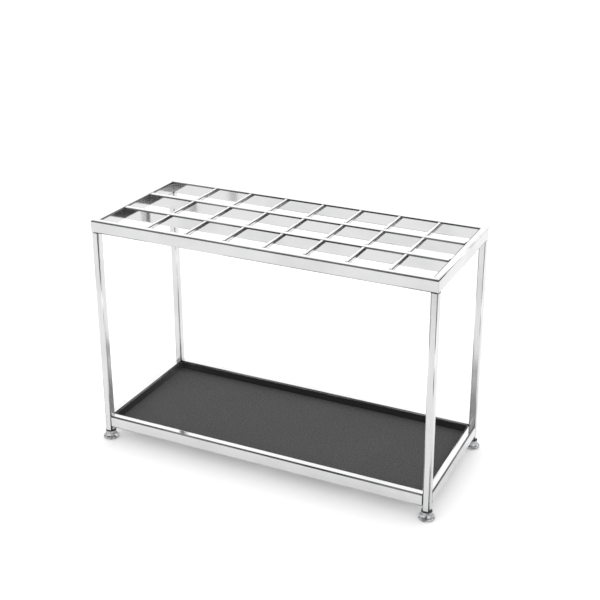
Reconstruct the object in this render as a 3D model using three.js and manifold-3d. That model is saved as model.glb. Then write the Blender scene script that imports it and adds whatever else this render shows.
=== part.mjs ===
// An umbrella stand: a grid of polished steel tube on four legs, over a drip tray with a mat.
// Millimetres, +Z up, origin on the floor under the middle of the stand, front towards -Y.
import * as THREE from "three";
import { mergeVertices } from "three/addons/utils/BufferGeometryUtils.js";
import Module from "manifold-3d";

const wasm = await Module();
wasm.setup();

// Overall size
const LENGTH = 900; // outside, along X
const DEPTH = 370; // outside, along Y
const HEIGHT = 607; // floor to the top of the grid

// Tube sizes
const TUBE = 19; // width of every tube
const RAIL_HEIGHT = 32; // height of the upright rectangular tube
const WALL = 1.2; // thickness of the tube walls
const GAP = 0.3; // left between pieces that are welded or touch

// Grid
const ROWS = 3;
const LAST_CELL = 96; // clear length of the right-hand cell
const BAR_PITCH = 104.7; // from one cross bar to the next
const CROSS_BARS = 7;
const CROSS_BAR_SIZE = 9; // square bar, top flush with the grid

// Lower frame, tray and mat
const LEG_BOTTOM = 22; // underside of the legs
const LOWER_RAIL_BOTTOM = 34;
const TRAY_CLEARANCE = 1.5; // from the tray to the rails, each side
const TRAY_BOTTOM = 41;
const TRAY_TOP = 64;
const TRAY_SHEET = 1;
const MAT_THICKNESS = 3.4;
const STRIP_WIDTH = 20; // flat strips that carry the tray
const STRIP_THICKNESS = 3;
const STRIP_SPACING = 260;

// Levelling feet
const STEM_RADIUS = 4;
const STEM_TOP = 42;
const STEM_BOTTOM = 6;
const RUNNING_GAP = 0.35; // round the stem, thread to thread
const INSERT_HEIGHT = 16;
const COLLAR_RADIUS = 13.6;
const FLANGE_RADIUS = 20;
const BASE_TOP = 21.2;
const PAD_RADIUS = 17.2;
const PAD_THICKNESS = 3;
const ROUND_SEGMENTS = 28;

const steel = (name) =>
  new THREE.MeshStandardMaterial({ name, color: 0xd9dadb, roughness: 0.06, metalness: 1 });
const blackPaint = () =>
  new THREE.MeshStandardMaterial({ color: 0x0c0c0d, roughness: 0.45, metalness: 0 });
const greyRubber = () =>
  new THREE.MeshStandardMaterial({ color: 0x4f4f4f, roughness: 0.9, metalness: 0 });
const blackRubber = () =>
  new THREE.MeshStandardMaterial({ color: 0x101010, roughness: 0.8, metalness: 0 });

const stand = new THREE.Group();

function add(name, geometry, material, position = [0, 0, 0], turnZ = 0) {
  const mesh = new THREE.Mesh(geometry, material);
  mesh.name = name;
  mesh.position.set(...position);
  mesh.rotation.z = turnZ;
  stand.add(mesh);
  return mesh;
}

// Booleans
function toSolid(geometry) {
  const bare = geometry.clone();
  bare.deleteAttribute("normal");
  bare.deleteAttribute("uv");
  const merged = mergeVertices(bare, 1e-4);
  return new wasm.Manifold(
    new wasm.Mesh({
      numProp: 3,
      vertProperties: merged.attributes.position.array,
      triVerts: new Uint32Array(merged.index.array),
    }),
  );
}

function toGeometry(solid) {
  const mesh = solid.getMesh();
  const geometry = new THREE.BufferGeometry();
  geometry.setAttribute("position", new THREE.BufferAttribute(mesh.vertProperties, 3));
  geometry.setIndex(new THREE.BufferAttribute(mesh.triVerts, 1));
  geometry.computeVertexNormals();
  return geometry;
}

function box(x, y, z) {
  return new THREE.BoxGeometry(x, y, z);
}

function polygon(points) {
  return new THREE.Shape(points.map(([x, y]) => new THREE.Vector2(x, y)));
}

function rectangle(width, height) {
  const x = width / 2;
  const y = height / 2;
  return [[-x, -y], [x, -y], [x, y], [-x, y]];
}

function extruded(shape, depth) {
  return new THREE.ExtrudeGeometry(shape, { depth, bevelEnabled: false });
}

// Straight tube of rectangular section, along Z from 0 to its length, open at both ends
function straightTube(width, height, length) {
  const section = polygon(rectangle(width, height));
  const bore = rectangle(width - 2 * WALL, height - 2 * WALL).reverse();
  section.holes.push(new THREE.Path(bore.map(([x, y]) => new THREE.Vector2(x, y))));
  return extruded(section, length);
}

// The same tube lying along X, centred on its own middle
function lyingTube(width, height, length) {
  const geometry = straightTube(height, width, length);
  geometry.translate(0, 0, -length / 2);
  geometry.rotateY(Math.PI / 2);
  return geometry;
}

// Top rail with 45 degree mitres, along X, outer face towards -Y, middle at the origin
function mitredRail(length) {
  const half = length / 2 - GAP;
  const plan = polygon([
    [-half, -TUBE / 2],
    [half, -TUBE / 2],
    [half - TUBE, TUBE / 2],
    [-half + TUBE, TUBE / 2],
  ]);
  const outside = extruded(plan, RAIL_HEIGHT);
  outside.translate(0, 0, -RAIL_HEIGHT / 2);
  const bore = box(length + 10, TUBE - 2 * WALL, RAIL_HEIGHT - 2 * WALL);
  return toGeometry(toSolid(outside).subtract(toSolid(bore)));
}

function topFrame() {
  const z = HEIGHT - RAIL_HEIGHT / 2;
  const x = LENGTH / 2 - TUBE / 2;
  const y = DEPTH / 2 - TUBE / 2;
  add("top_rail_front", mitredRail(LENGTH), steel("steel"), [0, -y, z]);
  add("top_rail_rear", mitredRail(LENGTH), steel("steel"), [0, y, z], Math.PI);
  add("top_rail_left", mitredRail(DEPTH), steel("steel"), [-x, 0, z], -Math.PI / 2);
  add("top_rail_right", mitredRail(DEPTH), steel("steel"), [x, 0, z], Math.PI / 2);
}

// Clear depth of one row of cells, and the Y of each long bar's middle
const ROW_DEPTH = (DEPTH - (ROWS + 1) * TUBE) / ROWS;
const LONG_BAR_Y = (ROW_DEPTH + TUBE) / 2;

function grid() {
  const length = LENGTH - 2 * TUBE - 2 * GAP;
  const z = HEIGHT - RAIL_HEIGHT / 2;
  const longBar = () => lyingTube(TUBE, RAIL_HEIGHT, length);
  add("long_bar_front", longBar(), steel("steel"), [0, -LONG_BAR_Y, z]);
  add("long_bar_rear", longBar(), steel("steel"), [0, LONG_BAR_Y, z]);

  const rows = ["front", "middle", "rear"];
  const lastBar = LENGTH / 2 - TUBE - LAST_CELL - CROSS_BAR_SIZE / 2;
  for (let column = 0; column < CROSS_BARS; column++) {
    const x = lastBar - (CROSS_BARS - 1 - column) * BAR_PITCH;
    rows.forEach((row, i) => {
      const y = (i - 1) * (ROW_DEPTH + TUBE);
      const bar = box(CROSS_BAR_SIZE, ROW_DEPTH - 2 * GAP, CROSS_BAR_SIZE);
      add("cross_bar_" + row + "_" + (column + 1), bar, steel("steel"),
        [x, y, HEIGHT - CROSS_BAR_SIZE / 2]);
    });
  }
}

function lowerFrame() {
  const z = LOWER_RAIL_BOTTOM + RAIL_HEIGHT / 2;
  const x = LENGTH / 2 - TUBE / 2;
  const y = DEPTH / 2 - TUBE / 2;
  const long = () => lyingTube(TUBE, RAIL_HEIGHT, LENGTH - 2 * TUBE - 2 * GAP);
  const short = () => lyingTube(TUBE, RAIL_HEIGHT, DEPTH - 2 * TUBE - 2 * GAP);
  add("lower_rail_front", long(), steel("steel"), [0, -y, z]);
  add("lower_rail_rear", long(), steel("steel"), [0, y, z]);
  add("lower_rail_left", short(), steel("steel"), [-x, 0, z], Math.PI / 2);
  add("lower_rail_right", short(), steel("steel"), [x, 0, z], Math.PI / 2);

  // Flat strips across the lower frame, which the tray stands on
  const stripLength = DEPTH - 2 * TUBE - 2 * GAP;
  ["left", "middle", "right"].forEach((name, i) => {
    const strip = box(STRIP_WIDTH, stripLength, STRIP_THICKNESS);
    const top = TRAY_BOTTOM - GAP;
    add("tray_strip_" + name, strip, steel("steel"),
      [(i - 1) * STRIP_SPACING, 0, top - STRIP_THICKNESS / 2]);
  });
}

function trayAndMat() {
  const length = LENGTH - 2 * TUBE - 2 * TRAY_CLEARANCE;
  const width = DEPTH - 2 * TUBE - 2 * TRAY_CLEARANCE;
  const height = TRAY_TOP - TRAY_BOTTOM;
  const outside = box(length, width, height);
  const hollow = box(length - 2 * TRAY_SHEET, width - 2 * TRAY_SHEET, height);
  hollow.translate(0, 0, TRAY_SHEET);
  const pan = toGeometry(toSolid(outside).subtract(toSolid(hollow)));
  add("drip_tray", pan, blackPaint(), [0, 0, TRAY_BOTTOM + height / 2]);

  const matLength = length - 2 * TRAY_SHEET - 2;
  const matWidth = width - 2 * TRAY_SHEET - 2;
  const matBottom = TRAY_BOTTOM + TRAY_SHEET + GAP;
  add("tray_mat", box(matLength, matWidth, MAT_THICKNESS), greyRubber(),
    [0, 0, matBottom + MAT_THICKNESS / 2]);
}

// Half section of the bell-shaped base: collar, flare and flange, with a socket for the
// stem above and a recess for the pad below
function bellProfile() {
  const socket = STEM_RADIUS + RUNNING_GAP;
  const floor = STEM_BOTTOM - GAP;
  const recess = PAD_THICKNESS + GAP - 1;
  return [
    [0, recess],
    [PAD_RADIUS + GAP, recess],
    [PAD_RADIUS + GAP, 1],
    [FLANGE_RADIUS - 0.8, 1],
    [FLANGE_RADIUS, 2],
    [FLANGE_RADIUS, 4.2],
    [FLANGE_RADIUS - 1, 6],
    [COLLAR_RADIUS + 2, 8.6],
    [COLLAR_RADIUS + 0.6, 11.5],
    [COLLAR_RADIUS, 14.5],
    [COLLAR_RADIUS, BASE_TOP - 0.8],
    [COLLAR_RADIUS - 0.8, BASE_TOP],
    [socket, BASE_TOP],
    [socket, floor],
    [0, floor],
  ].map(([r, z]) => new THREE.Vector2(r, z));
}

function turned(profile) {
  const geometry = new THREE.LatheGeometry(profile, ROUND_SEGMENTS);
  geometry.rotateX(Math.PI / 2);
  return geometry;
}

// Upright cylinder from one height to another
function upright(radius, bottom, top) {
  const geometry = new THREE.CylinderGeometry(radius, radius, top - bottom, ROUND_SEGMENTS);
  geometry.rotateX(Math.PI / 2);
  geometry.translate(0, 0, (bottom + top) / 2);
  return geometry;
}

function insertBlock() {
  const side = TUBE - 2 * WALL - 2 * GAP;
  const section = polygon(rectangle(side, side));
  const hole = new THREE.Path();
  hole.absarc(0, 0, STEM_RADIUS + RUNNING_GAP, 0, 2 * Math.PI, true);
  section.holes.push(hole);
  const geometry = new THREE.ExtrudeGeometry(section, {
    depth: INSERT_HEIGHT,
    bevelEnabled: false,
    curveSegments: ROUND_SEGMENTS,
  });
  geometry.translate(0, 0, LEG_BOTTOM + GAP);
  return geometry;
}

function legAndFoot(name, x, y) {
  const legTop = HEIGHT - RAIL_HEIGHT - GAP;
  const leg = straightTube(TUBE, TUBE, legTop - LEG_BOTTOM);
  add("leg_" + name, leg, steel("steel"), [x, y, LEG_BOTTOM]);
  add("foot_insert_" + name, insertBlock(), steel("steel"), [x, y, 0]);
  const stem = upright(STEM_RADIUS, STEM_BOTTOM, STEM_TOP);
  add("foot_stem_" + name, stem, steel("steel"), [x, y, 0]);
  add("foot_base_" + name, turned(bellProfile()), steel("steel"), [x, y, 0]);
  const pad = upright(PAD_RADIUS, 0, PAD_THICKNESS - 1);
  add("foot_pad_" + name, pad, blackRubber(), [x, y, 0]);
}

function legs() {
  const x = LENGTH / 2 - TUBE / 2;
  const y = DEPTH / 2 - TUBE / 2;
  legAndFoot("front_left", -x, -y);
  legAndFoot("front_right", x, -y);
  legAndFoot("rear_left", -x, y);
  legAndFoot("rear_right", x, y);
}

topFrame();
grid();
legs();
lowerFrame();
trayAndMat();

export default stand;
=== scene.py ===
# %% [markdown]
# # An umbrella stand in polished steel tube
# The stand is a welded frame: a grid of tube on top, four square legs, and a low frame that
# carries a black drip tray with a grey rubber mat. Each leg ends in a chromed levelling foot.
# The measured model is loaded first and never moved. It gives every size and place, so each
# piece made here only adds what a machined model leaves out: rounded tube edges, folded sheet,
# screw threads and finishes.

import math

import bmesh
import bpy
from mathutils import Matrix, Vector


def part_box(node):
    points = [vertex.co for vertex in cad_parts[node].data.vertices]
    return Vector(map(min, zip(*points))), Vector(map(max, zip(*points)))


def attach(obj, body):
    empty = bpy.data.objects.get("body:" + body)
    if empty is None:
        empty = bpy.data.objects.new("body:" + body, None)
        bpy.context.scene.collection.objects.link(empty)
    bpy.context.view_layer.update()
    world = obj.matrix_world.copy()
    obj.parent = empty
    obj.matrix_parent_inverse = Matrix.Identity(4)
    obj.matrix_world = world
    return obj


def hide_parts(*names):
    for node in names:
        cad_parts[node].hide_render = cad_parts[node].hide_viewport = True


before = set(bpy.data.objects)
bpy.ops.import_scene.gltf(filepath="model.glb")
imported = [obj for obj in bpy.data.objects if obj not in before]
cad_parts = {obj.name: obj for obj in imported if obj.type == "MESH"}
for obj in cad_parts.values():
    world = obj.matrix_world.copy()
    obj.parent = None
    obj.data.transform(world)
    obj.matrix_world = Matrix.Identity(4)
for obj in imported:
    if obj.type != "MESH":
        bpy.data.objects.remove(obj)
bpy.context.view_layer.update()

# %% [markdown]
# ## Shader maths as Python
# A finish is a small graph of nodes. Nodes can be placed one by one, but sums then turn into
# long lists of links. One class that wraps a socket lets a roughness be written as an ordinary
# expression, and one method makes any other kind of node.


# %% A socket that can be added and multiplied
class Wire:
    def __init__(self, tree, socket=None):
        self.tree = tree
        self.socket = socket

    def node(self, kind, settings={}, sockets={}, out=0):
        made = self.tree.nodes.new(kind)
        for name, value in settings.items():
            setattr(made, name, value)
        for name, value in sockets.items():
            if isinstance(value, Wire):
                self.tree.links.new(value.socket, made.inputs[name])
            else:
                made.inputs[name].default_value = value
        return Wire(self.tree, made.outputs[out] if len(made.outputs) else made.inputs[0])

    def maths(self, operation, first, second):
        return self.node("ShaderNodeMath", {"operation": operation}, {0: first, 1: second})

    def __add__(self, other):
        return self.maths("ADD", self, other)

    def __mul__(self, other):
        return self.maths("MULTIPLY", self, other)

    def __sub__(self, other):
        return self.maths("SUBTRACT", self, other)

    def __rsub__(self, other):
        return self.maths("SUBTRACT", other, self)

    __radd__ = __add__
    __rmul__ = __mul__


# %% Noise, steps and mixes that every finish uses
def grain(start, place, scale, detail=2.0):
    """Noise from 0 to 1 at so many waves a metre."""
    sockets = {"Vector": place, "Scale": scale, "Detail": detail}
    return start.node("ShaderNodeTexNoise", {}, sockets)


def step(value, low, high):
    """0 below low, 1 above high, smooth between."""
    settings = {"interpolation_type": "SMOOTHSTEP"}
    return value.node("ShaderNodeMapRange", settings, {"Value": value, 1: low, 2: high})


def tint(factor, first, second):
    """One colour where the factor is 0, the other where it is 1."""
    colours = {"Factor": factor, 6: (*first, 1), 7: (*second, 1)}
    return factor.node("ShaderNodeMix", {"data_type": "RGBA"}, colours, out=2)


def bump(height, strength, distance):
    """A fine relief: the distance is its depth in metres."""
    sockets = {"Height": height, "Strength": strength, "Distance": distance}
    return height.node("ShaderNodeBump", {}, sockets)


def new_finish(name):
    """An empty material, and the Object coordinates that its patterns follow."""
    material = bpy.data.materials.new(name)
    material.use_nodes = True
    material.node_tree.nodes.clear()
    start = Wire(material.node_tree)
    return material, start, start.node("ShaderNodeTexCoord", out=3)


def close_finish(material, start, sockets):
    """Adds the surface shader and the output."""
    surface = start.node("ShaderNodeBsdfPrincipled", {}, sockets)
    start.node("ShaderNodeOutputMaterial", {}, {"Surface": surface})
    print("finish", material.name, len(material.node_tree.nodes), "nodes")
    return material


# %% [markdown]
# ## Polished steel
# Tube is polished along its length with belts, which leaves hair lines far finer than a
# millimetre, and hands leave soft patches that are a little duller. Both belong in the roughness
# and in a very low bump, because the colour of clean steel hardly changes. The hair lines run
# with the tube, so there is one finish for each direction, made by stretching the noise. The legs
# are given a duller finish than the rails, so that they carry a softer reflection.
#
# In a furnished room a rounded edge mirrors something dark, and shows as a thin dark line. This
# studio is nearly all white, so a darker finish on the rounded edges of one side of each rail and
# bar stands in for that line. It is painted on: the real edge is presumably as bright as the rest.


# %% Steel, polished along one axis
def polished_steel(name, stretch, dullness, light=(0.68, 0.68, 0.682), dark=(0.58, 0.582, 0.585)):
    material, start, place = new_finish(name)
    stretched = start.node("ShaderNodeMapping", {}, {"Vector": place, "Scale": stretch})
    hair = grain(start, stretched, 1.0, 3.0)
    patches = step(grain(start, place, 9.0, 3.0), 0.42, 0.7)
    specks = step(grain(start, place, 620.0, 1.0), 0.7, 0.8)
    return close_finish(material, start, {
        "Base Color": tint(patches * 0.5 + hair * 0.4, light, dark),
        "Metallic": 1.0,
        "Roughness": dullness + patches * 0.05 + hair * 0.05 + specks * 0.1,
        "Normal": bump(hair, 0.08, 0.0002),
    })


steel_along = {
    0: polished_steel("polished_steel_along_x", (4, 900, 900), 0.045),
    1: polished_steel("polished_steel_along_y", (900, 4, 900), 0.045),
    2: polished_steel("polished_steel_along_z", (900, 900, 4), 0.17),
}
# Painted reflection: near-black steel for the rounded edges, standing in for the dark line they
# would mirror.
painted_reflection_edge = polished_steel("painted_reflection_edge", (300, 300, 300), 0.16, (0.17, 0.17, 0.172),
                           (0.08, 0.08, 0.082))

# %% [markdown]
# ## Chrome, bright screws, black paint and rubber
# The feet are chromed castings: smoother than the tube and slightly bluer, with faint rings from
# turning. The tray is sheet steel under black powder paint, which dries with a fine orange peel
# and rubs thin along its top rim. The mat is grey rubber with a leathery grain, and the pads
# under the feet are plain black rubber that has picked up dust.


# %% Chromed casting, with painted shade on its upper face, most of which the leg covers
collar_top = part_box("foot_base_front_left")[1].z
# Heights below the collar's top for the painted shade under the leg: full shade down to the first,
# plain chrome below the second.
DARK_TO, DARK_FROM = 0.0003, 0.0007  # below the top: fully dark down to one, plated below the other


def chromed_foot():
    material, start, place = new_finish("chromed_foot")
    rings = start.node("ShaderNodeMapping", {}, {"Vector": place, "Scale": (3, 3, 1800)})
    turning = grain(start, rings, 1.0, 1.0)
    haze = step(grain(start, place, 150.0, 3.0), 0.4, 0.7)
    height = start.node("ShaderNodeSeparateXYZ", {}, {0: place}, out=2)
    # Painted shade: the top of the foot, where the leg stands on it, is painted near black and not
    # metallic.
    painted_leg_shade = step(height, collar_top - DARK_FROM, collar_top - DARK_TO)
    plating = tint(haze, (0.46, 0.465, 0.475), (0.14, 0.142, 0.146))
    dark = {"Factor": painted_leg_shade, 6: plating, 7: (0.012, 0.012, 0.012, 1)}
    return close_finish(material, start, {
        "Base Color": start.node("ShaderNodeMix", {"data_type": "RGBA"}, dark, out=2),
        "Metallic": 1.0 - painted_leg_shade,
        "Roughness": 0.03 + haze * 0.07 + turning * 0.03 + painted_leg_shade * 0.5,
        "Normal": bump(turning, 0.05, 0.0001),
    })


def bright_screw():
    material, start, place = new_finish("bright_screw")
    wear = grain(start, place, 300.0, 3.0)
    return close_finish(material, start, {
        "Base Color": tint(wear, (0.58, 0.58, 0.56), (0.70, 0.70, 0.69)),
        "Metallic": 1.0,
        "Roughness": 0.2 + wear * 0.15,
        "Normal": bump(wear, 0.1, 0.0002),
    })


# %% Black powder paint
tray_low, tray_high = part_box("drip_tray")
RUBBED_RIM = 0.0012  # height of the strip along the tray's top that rubs thin


def black_paint():
    material, start, place = new_finish("black_paint")
    peel = grain(start, place, 520.0, 2.0)
    height = start.node("ShaderNodeSeparateXYZ", {}, {0: place}, out=2)
    rim = step(height, tray_high.z - RUBBED_RIM, tray_high.z)
    rubbed = rim * step(grain(start, place, 60.0, 4.0), 0.45, 0.6)
    return close_finish(material, start, {
        "Base Color": tint(rubbed * 0.5, (0.005, 0.005, 0.0055), (0.14, 0.14, 0.14)),
        "Specular IOR Level": 0.3,
        "Roughness": 0.42 + peel * 0.16 - rubbed * 0.1,
        "Normal": bump(peel, 0.12, 0.0003),
    })


# %% Rubber
def grey_rubber():
    material, start, place = new_finish("grey_rubber")
    fine = grain(start, place, 900.0, 3.0)
    pebbles = grain(start, place, 260.0, 3.0)
    scuffs = step(grain(start, place, 7.0, 5.0), 0.5, 0.75)
    shade = step(fine * 0.4 + pebbles * 0.6, 0.35, 0.65) * 0.9 + scuffs * 0.1
    return close_finish(material, start, {
        "Base Color": tint(shade, (0.034, 0.034, 0.035), (0.076, 0.076, 0.075)),
        "Roughness": 0.78 + fine * 0.16,
        "Normal": bump(fine * 0.5 + pebbles * 0.5, 0.35, 0.0006),
    })


def black_rubber():
    material, start, place = new_finish("black_rubber")
    dust = step(grain(start, place, 160.0, 4.0), 0.45, 0.8)
    return close_finish(material, start, {
        "Base Color": tint(dust, (0.014, 0.014, 0.015), (0.06, 0.058, 0.055)),
        "Roughness": 0.7 + dust * 0.2,
        "Normal": bump(dust, 0.15, 0.0003),
    })


chrome = chromed_foot()
screw_steel = bright_screw()
paint = black_paint()
mat_rubber = grey_rubber()
pad_rubber = black_rubber()

# %% [markdown]
# ## Rounded tube
# Drawn tube has rounded edges, and they matter more than anything else here: each one catches a
# thin bright or dark line, which is what makes polished steel read as steel. The piece starts as
# a cube stretched to the measured box, and only its four long edges are bevelled, because the
# ends are welded flat against a neighbour. The strips made by the bevel are shaded smooth and
# the walls stay flat, so that the walls mirror without bending.


# %% From a measured box to a rounded tube
TUBE_EDGE = 0.0034  # radius of the tube's rounded edges
FACING = 0.12  # how much of a face's normal must point to a side for the face to be on that side


def long_edges(shape, axis):
    """The edges that run along one axis."""
    found = []
    for edge in shape.edges:
        run = edge.verts[1].co - edge.verts[0].co
        if abs(run[axis]) > 0.999 * run.length:
            found.append(edge)
    return found


def rounded(shape, edges, radius, segments=4):
    """Rounds the edges, and gives back the faces of the rounding."""
    made = bmesh.ops.bevel(shape, geom=edges, offset=radius, offset_type="OFFSET",
                           segments=segments, profile=0.5, affect="EDGES", material=-1)
    for face in made["faces"]:
        face.smooth = True
    return made["faces"]


def paint_dark_reflection(edge_faces, towards, upper=True):
    """Gives the rounded edges on one side, or the upper one alone, the finish with a painted dark
    reflection.
    """
    for face in edge_faces:
        face.normal_update()
        on_side = face.normal.dot(Vector(towards)) > FACING
        if on_side and (face.normal.z > FACING or not upper):
            face.material_index = 1


def block(low, high):
    """A box from its lowest to its highest corner."""
    shape = bmesh.new()
    size = high - low
    place = Matrix.Translation((low + high) / 2) @ Matrix.Diagonal((*size, 1))
    bmesh.ops.create_cube(shape, size=1.0, matrix=place)
    return shape


def put(shape, name, body, nodes, finish, cut=None, edge=None):
    """Turns a finished shape into a piece that rides on its body and stands for its nodes.

    Turns sharper than the angle cut stay crisp, and edge is the finish with a painted dark
    reflection for rounded edges."""
    bmesh.ops.remove_doubles(shape, verts=shape.verts, dist=1e-6)
    bmesh.ops.recalc_face_normals(shape, faces=shape.faces)
    mesh = bpy.data.meshes.new(name)
    shape.to_mesh(mesh)
    shape.free()
    mesh.materials.append(finish)
    if edge:
        mesh.materials.append(edge)
    piece = bpy.data.objects.new(name, mesh)
    bpy.context.scene.collection.objects.link(piece)
    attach(piece, body)
    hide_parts(*nodes)
    if cut:
        mesh.set_sharp_from_angle(angle=cut)
    return piece


# %% [markdown]
# ## Top frame
# Four rails meet at 45 degree mitres. A mitre could be modelled with a boolean, but one slanting
# cut through the tube at each end is simpler: bisect the shape with a plane, throw away what lies
# outside, and close the hole. A hair line between two rails stands for the ground-down weld.


# %% Rails with mitred ends
def mitred_rail(node, axis, outward):
    low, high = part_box(node)
    shape = block(low, high)
    strips = rounded(shape, long_edges(shape, axis), TUBE_EDGE)
    # The upper rounded edge on one side gets the painted dark reflection.
    paint_dark_reflection(strips, (0, -1, 0) if axis == 0 else (-outward, 0, 0))
    across = 1 - axis
    face = high[across] if outward > 0 else low[across]
    for end, corner in ((-1, low[axis]), (1, high[axis])):
        point, normal = Vector((0, 0, 0)), Vector((0, 0, 0))
        point[axis], point[across] = corner, face
        normal[axis], normal[across] = end, -outward
        everything = shape.verts[:] + shape.edges[:] + shape.faces[:]
        bmesh.ops.bisect_plane(shape, geom=everything, plane_co=point, plane_no=normal,
                               clear_outer=True, dist=1e-7)
        rim = [edge for edge in shape.edges if edge.is_boundary]
        bmesh.ops.holes_fill(shape, edges=rim, sides=0)
    name = node.replace("top_rail", "rail_top")
    return put(shape, name, "stand_frame", [node], steel_along[axis],
               edge=painted_reflection_edge)


for node, axis, outward in (("top_rail_front", 0, -1), ("top_rail_rear", 0, 1),
                            ("top_rail_left", 1, -1), ("top_rail_right", 1, 1)):
    rail = mitred_rail(node, axis, outward)
    print(rail.name, len(rail.data.vertices), "vertices")

# %% [markdown]
# ## Bars of the grid and rails of the low frame
# All of these are straight lengths that butt against a neighbour, so one function serves them
# all. The short cross bars are solid square bar with a tighter edge than tube, and the strips
# under the tray are flat bar with an edge that is barely broken.


# %% Straight lengths
BAR_EDGE = 0.0018  # radius of the cross bars' edges
STRIP_EDGE = 0.0006


def straight_length(node, name, axis, edge_radius, towards, upper=True, segments=4):
    shape = block(*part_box(node))
    strips = rounded(shape, long_edges(shape, axis), edge_radius, segments)
    # The rounded edges on one side get the painted dark reflection.
    paint_dark_reflection(strips, towards, upper)
    return put(shape, name, "stand_frame", [node], steel_along[axis],
               edge=painted_reflection_edge)


for side in ("front", "rear"):
    straight_length("long_bar_" + side, "grid_long_bar_" + side, 0, TUBE_EDGE, (0, -1, 0))
    straight_length("lower_rail_" + side, "rail_low_" + side, 0, TUBE_EDGE, (0, -1, 0))
for side in ("left", "right"):
    straight_length("lower_rail_" + side, "rail_low_" + side, 1, TUBE_EDGE, (1, 0, 0))

cross_bars = [name for name in sorted(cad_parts) if name.startswith("cross_bar_")]
for node in cross_bars:
    straight_length(node, node.replace("cross_bar", "grid_bar"), 1, BAR_EDGE, (1, 0, 0), False)
print(len(cross_bars), "cross bars")

for side in ("left", "middle", "right"):
    straight_length("tray_strip_" + side, "strip_" + side, 1, STRIP_EDGE, (1, 0, 0), True, 2)

# %% [markdown]
# ## Legs
# A leg is a square tube that is open at the bottom, where the levelling foot screws in. Its
# lower face is taken away, and a Solidify modifier gives the wall its thickness inwards, so the
# outside stays exactly where it was measured.

# %% Open square tube
LEG_WALL = 0.0012
corners = ("front_left", "front_right", "rear_left", "rear_right")


def leg(corner):
    low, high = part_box("leg_" + corner)
    shape = block(low, high)
    rounded(shape, long_edges(shape, 2), TUBE_EDGE)
    underside = [face for face in shape.faces if face.normal.z < -0.9]
    bmesh.ops.delete(shape, geom=underside, context="FACES_ONLY")
    piece = put(shape, "post_" + corner, "stand_frame", ["leg_" + corner],
                steel_along[2])
    wall = piece.modifiers.new("wall", "SOLIDIFY")
    wall.thickness = LEG_WALL
    wall.offset = -1


for corner in corners:
    leg(corner)
    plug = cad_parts["foot_insert_" + corner]
    for place in plug.material_slots:
        place.material = screw_steel
print("four legs, open at the bottom")

# %% [markdown]
# ## Levelling feet
# The foot is a turned casting: a short collar, a flare like a bell, and a rounded flange. A
# turned piece is a half outline spun round its axis. The outline here is a few corners, and
# bevelling those corners gives the soft shoulders, so no curve has to be worked out by hand. The
# stem is made the same way from a row of ridges, which reads as a thread at this size.


# %% Half outlines spun round the leg's axis
def outline(points):
    shape = bmesh.new()
    line = [shape.verts.new((radius, 0, height)) for radius, height in points]
    for first, second in zip(line, line[1:]):
        shape.edges.new((first, second))
    return shape, line


def spun(shape, centre, steps):
    bmesh.ops.spin(shape, geom=shape.verts[:] + shape.edges[:], cent=(0, 0, 0), axis=(0, 0, 1),
                   angle=math.tau, steps=steps, use_merge=True)
    bmesh.ops.remove_doubles(shape, verts=shape.verts, dist=1e-6)
    bmesh.ops.translate(shape, verts=shape.verts, vec=centre)
    for face in shape.faces:
        face.smooth = True


def softened(shape, corners_with_radius):
    """Rounds corners of an outline before it is spun."""
    for corner, radius in corners_with_radius:
        bmesh.ops.bevel(shape, geom=[corner], offset=radius, offset_type="OFFSET", segments=4,
                        profile=0.5, affect="VERTICES", material=-1)


# %% Bell, pad and stem
SOCKET = 0.00435  # radius of the hole that the stem screws into
COLLAR_SHARE = 0.681  # the collar's radius, as a share of the flange's
FLARE = ((0, 0.0148), (0.0009, 0.0112), (0.0026, 0.0084))  # wider than the collar by, at height
SHOULDER, RIM = 0.0066, 0.0060  # heights where the flange begins and where its edge turns down
SHOULDER_INSET = 0.0012
SLACK = 0.0003  # left between pieces that touch
TURNED_CUT, THREAD_CUT = 0.9, 0.5  # radians: sharper turns than these stay crisp


def bell(corner, centre):
    low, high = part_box("foot_base_" + corner)
    flange = (high.x - low.x) / 2
    collar = flange * COLLAR_SHARE
    top = high.z
    socket_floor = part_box("foot_stem_" + corner)[0].z - SLACK
    pad_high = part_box("foot_pad_" + corner)[1]
    recess = pad_high.x - centre.x + SLACK
    points = [(0, socket_floor), (SOCKET, socket_floor), (SOCKET, top), (collar, top)]
    points += [(collar + wider, height) for wider, height in FLARE]
    points += [(flange - SHOULDER_INSET, SHOULDER), (flange, RIM), (flange, low.z),
               (recess, low.z), (recess, pad_high.z + SLACK), (0, pad_high.z + SLACK)]
    shape, line = outline(points)
    # The collar's top, the three corners of the flare, and the flange's edge above and below.
    softened(shape, [(line[3], 0.0011), (line[4], 0.002), (line[5], 0.0012), (line[6], 0.0010),
                     (line[8], 0.0012), (line[9], 0.0008)])
    spun(shape, centre, 64)
    return put(shape, "bell_" + corner, "foot_" + corner, ["foot_base_" + corner],
               chrome, cut=TURNED_CUT)


def pad(corner, centre):
    low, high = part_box("foot_pad_" + corner)
    radius = (high.x - low.x) / 2
    points = [(0, low.z), (radius, low.z), (radius, high.z), (0, high.z)]
    shape, line = outline(points)
    softened(shape, [(line[1], 0.0006), (line[2], 0.0004)])
    spun(shape, centre, 48)
    return put(shape, "pad_" + corner, "foot_" + corner, ["foot_pad_" + corner],
               pad_rubber, cut=TURNED_CUT)


THREAD_DEPTH = 0.0007
PITCH_OF_THREAD = 0.00125
PLAIN_END = 0.001  # without thread, at each end of the stem
CHAMFER = 0.0006


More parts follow.
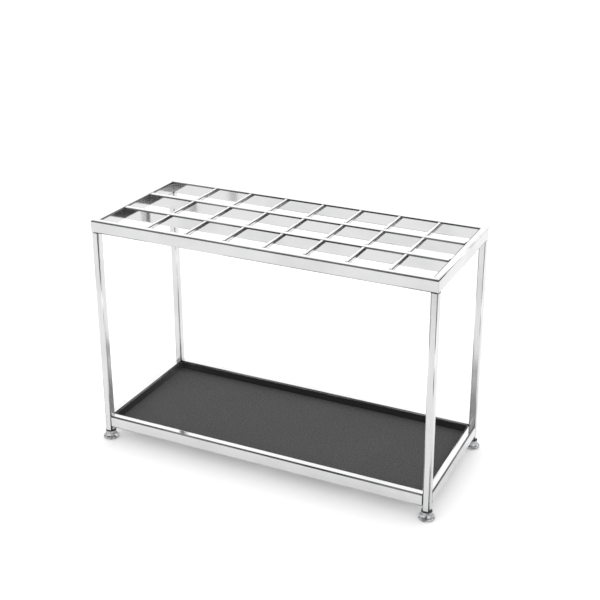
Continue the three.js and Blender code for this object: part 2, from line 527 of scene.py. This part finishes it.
def stem(corner, centre):
    low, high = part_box("foot_stem_" + corner)
    crest = (high.x - low.x) / 2
    root = crest - THREAD_DEPTH
    turns = int((high.z - low.z - 2 * PLAIN_END) / PITCH_OF_THREAD)
    points = [(0, low.z), (root, low.z)]
    for turn in range(turns):
        foot_of_ridge = low.z + PLAIN_END + turn * PITCH_OF_THREAD
        points += [(root, foot_of_ridge), (crest, foot_of_ridge + PITCH_OF_THREAD / 2)]
    points += [(root, high.z - PLAIN_END), (root - CHAMFER, high.z), (0, high.z)]
    shape = outline(points)[0]
    spun(shape, centre, 28)
    return put(shape, "stem_" + corner, "foot_" + corner, ["foot_stem_" + corner],
               screw_steel, cut=THREAD_CUT)


for corner in corners:
    low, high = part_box("foot_stem_" + corner)
    centre = Vector(((low.x + high.x) / 2, (low.y + high.y) / 2, 0))
    for make in (bell, pad, stem):
        make(corner, centre)
    print("foot", corner, "at", [round(v, 3) for v in centre])

# %% [markdown]
# ## Drip tray and mat
# The tray is one sheet, folded up on four sides. A cube without its top, with rounded corners and
# a tight fold along the bottom, is that sheet's outside, and Solidify gives it the thickness of
# the metal inwards. The mat is cut from sheet rubber: square edges, barely rounded by the knife,
# and corners that follow the tray's.


# %% Folded tray and cut mat
TRAY_CORNER, MAT_CORNER = 0.005, 0.0045  # radii seen from above
FOLD, KNIFE_EDGE = 0.0016, 0.0006  # radius along the tray's bottom, and along the mat's top
SHEET = 0.001  # thickness of the tray's metal
ON_PLANE = 1e-5  # how close to a plane counts as on it


def drip_tray():
    shape = block(tray_low, tray_high)
    lids = [face for face in shape.faces if face.normal.z > 0.9]
    bmesh.ops.delete(shape, geom=lids, context="FACES_ONLY")
    rounded(shape, long_edges(shape, 2), TRAY_CORNER, 5)
    floor_edges = [edge for edge in shape.edges
                   if all(abs(v.co.z - tray_low.z) < ON_PLANE for v in edge.verts)]
    rounded(shape, floor_edges, FOLD, 3)
    piece = put(shape, "folded_tray", "tray", ["drip_tray"], paint)
    sheet = piece.modifiers.new("sheet", "SOLIDIFY")
    sheet.thickness = SHEET
    sheet.offset = -1
    return piece


def cut_mat():
    low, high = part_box("tray_mat")
    shape = block(low, high)
    rounded(shape, long_edges(shape, 2), MAT_CORNER, 5)
    upper = [edge for edge in shape.edges
             if all(v.co.z > high.z - ON_PLANE for v in edge.verts)]
    rounded(shape, upper, KNIFE_EDGE, 2)
    return put(shape, "rubber_mat", "mat", ["tray_mat"], mat_rubber)


for piece in (drip_tray(), cut_mat()):
    piece.visible_glossy = False  # kept out of reflections, so the legs stay light to the foot
    print(piece.name, "made")

# %% [markdown]
# ## Floor and light
# Polished steel has hardly any colour of its own: it shows the room. The room here is a pale floor
# under a white sky that is brightest near the horizon, which the tops of the tubes mirror. The
# floor gives off a little light itself, which keeps the shadow faint, and a broad soft lamp
# overhead shapes it.


# %% Pale floor
FLOOR_RADIUS = 14
FLOOR_GLOW = 0.2
FLOOR_DROP = 0.0005  # below the pads, so that the two never share a plane


def pale_floor():
    shape = bmesh.new()
    bmesh.ops.create_circle(shape, cap_ends=True, segments=64, radius=FLOOR_RADIUS)
    mesh = bpy.data.meshes.new("floor")
    shape.to_mesh(mesh)
    shape.free()
    material, start, place = new_finish("pale_floor")
    mottle = grain(start, place, 3.0, 4.0)
    mesh.materials.append(close_finish(material, start, {
        "Base Color": tint(mottle, (0.89, 0.89, 0.89), (0.91, 0.91, 0.91)),
        "Roughness": 0.85 + mottle * 0.1,
        "Emission Color": (1, 1, 1, 1),
        "Emission Strength": FLOOR_GLOW,
    }))
    floor = bpy.data.objects.new("floor", mesh)
    bpy.context.scene.collection.objects.link(floor)
    floor.location.z = -FLOOR_DROP


pale_floor()

# %% White sky, brighter near the horizon
SKY = 1.5  # strength at the horizon
world = bpy.data.worlds.new("studio")
world.use_nodes = True
world.node_tree.nodes.clear()
bpy.context.scene.world = world
sky = Wire(world.node_tree)
direction = sky.node("ShaderNodeTexCoord")
climb = sky.node("ShaderNodeSeparateXYZ", {}, {0: direction}, out=2)
glow = tint(step(climb, 0.5, 0.85), (1, 1, 1), (0.42, 0.42, 0.42))
light = sky.node("ShaderNodeBackground", {}, {"Color": glow, "Strength": SKY})
sky.node("ShaderNodeOutputWorld", {}, {"Surface": light})

# %% [markdown]
# ## Black cards
# A bright metal object in an all-white room has no edges. Studios stand black cards in front of
# it, out of the picture, and the rounded edges pick them up as thin dark lines. One card hangs
# high in front for those lines, and a low one stands to the right for the dark insides of the
# cells. They are hidden from the camera and from soft light, so only gloss sees them.


# %% Cards that only gloss sees
def black_card(name, low, high):
    shape = block(Vector(low), Vector(high))
    mesh = bpy.data.meshes.new(name)
    shape.to_mesh(mesh)
    shape.free()
    material, start, place = new_finish(name)
    fibre = grain(start, place, 30.0, 3.0)
    mesh.materials.append(close_finish(material, start, {
        "Base Color": tint(fibre, (0.03, 0.03, 0.03), (0.06, 0.06, 0.06)),
        "Roughness": 0.9 + fibre * 0.1,
    }))
    card = bpy.data.objects.new(name, mesh)
    bpy.context.scene.collection.objects.link(card)
    card.visible_camera = False
    card.visible_diffuse = False
    card.visible_shadow = False


black_card("high_card", (-3.2, -1.65, 1.1), (1.6, -1.6, 4.6))
black_card("low_card", (0.2, -1.32, 0.02), (1.1, -1.3, 0.56))

# %% Soft lamp overhead
lamp = bpy.data.lights.new("soft_lamp", "AREA")
lamp.shape = "RECTANGLE"
lamp.size, lamp.size_y = 3.2, 2.4
lamp.energy = 20
lamp_object = bpy.data.objects.new("soft_lamp", lamp)
lamp_object.location = (-0.6, 1.6, 3.0)
lamp_object.rotation_euler = (math.radians(-28), math.radians(-11), 0)
bpy.context.scene.collection.objects.link(lamp_object)
bpy.context.scene.view_settings.view_transform = "Standard"
print("sky", SKY, "lamp", lamp.energy, "W")

# %% [markdown]
# ## Camera
# The camera stands in front of the stand, to its right and above it. Three turns aim it: round
# the upright axis, down from level, and a slight lean. The lens shift only slides the frame, so
# the upright edges keep their slight convergence.

# %% Where the camera stands
YAW, PITCH, LEAN = math.radians(-24.155), math.radians(20.491), math.radians(0.32)
STANDPOINT = (1.1347, -2.2841, 1.5305)
LENS = 66.74  # focal length in millimetres, on a sensor 36 mm wide
SHIFT_X, SHIFT_Y = -0.05, -0.1083
ahead = Vector((math.sin(YAW) * math.cos(PITCH), math.cos(YAW) * math.cos(PITCH),
                -math.sin(PITCH)))
level = Vector((math.cos(YAW), -math.sin(YAW), 0))
upwards = level.cross(ahead)
right = math.cos(LEAN) * level + math.sin(LEAN) * upwards
top = right.cross(ahead)

camera_data = bpy.data.cameras.new("camera")
camera_data.sensor_width = 36
camera_data.lens = LENS
camera_data.shift_x, camera_data.shift_y = SHIFT_X, SHIFT_Y
camera = bpy.data.objects.new("camera", camera_data)
turn = Matrix((right, top, -ahead)).transposed().to_4x4()
camera.matrix_world = Matrix.Translation(STANDPOINT) @ turn
bpy.context.scene.collection.objects.link(camera)
bpy.context.scene.camera = camera
print("lens", camera_data.lens, "mm")
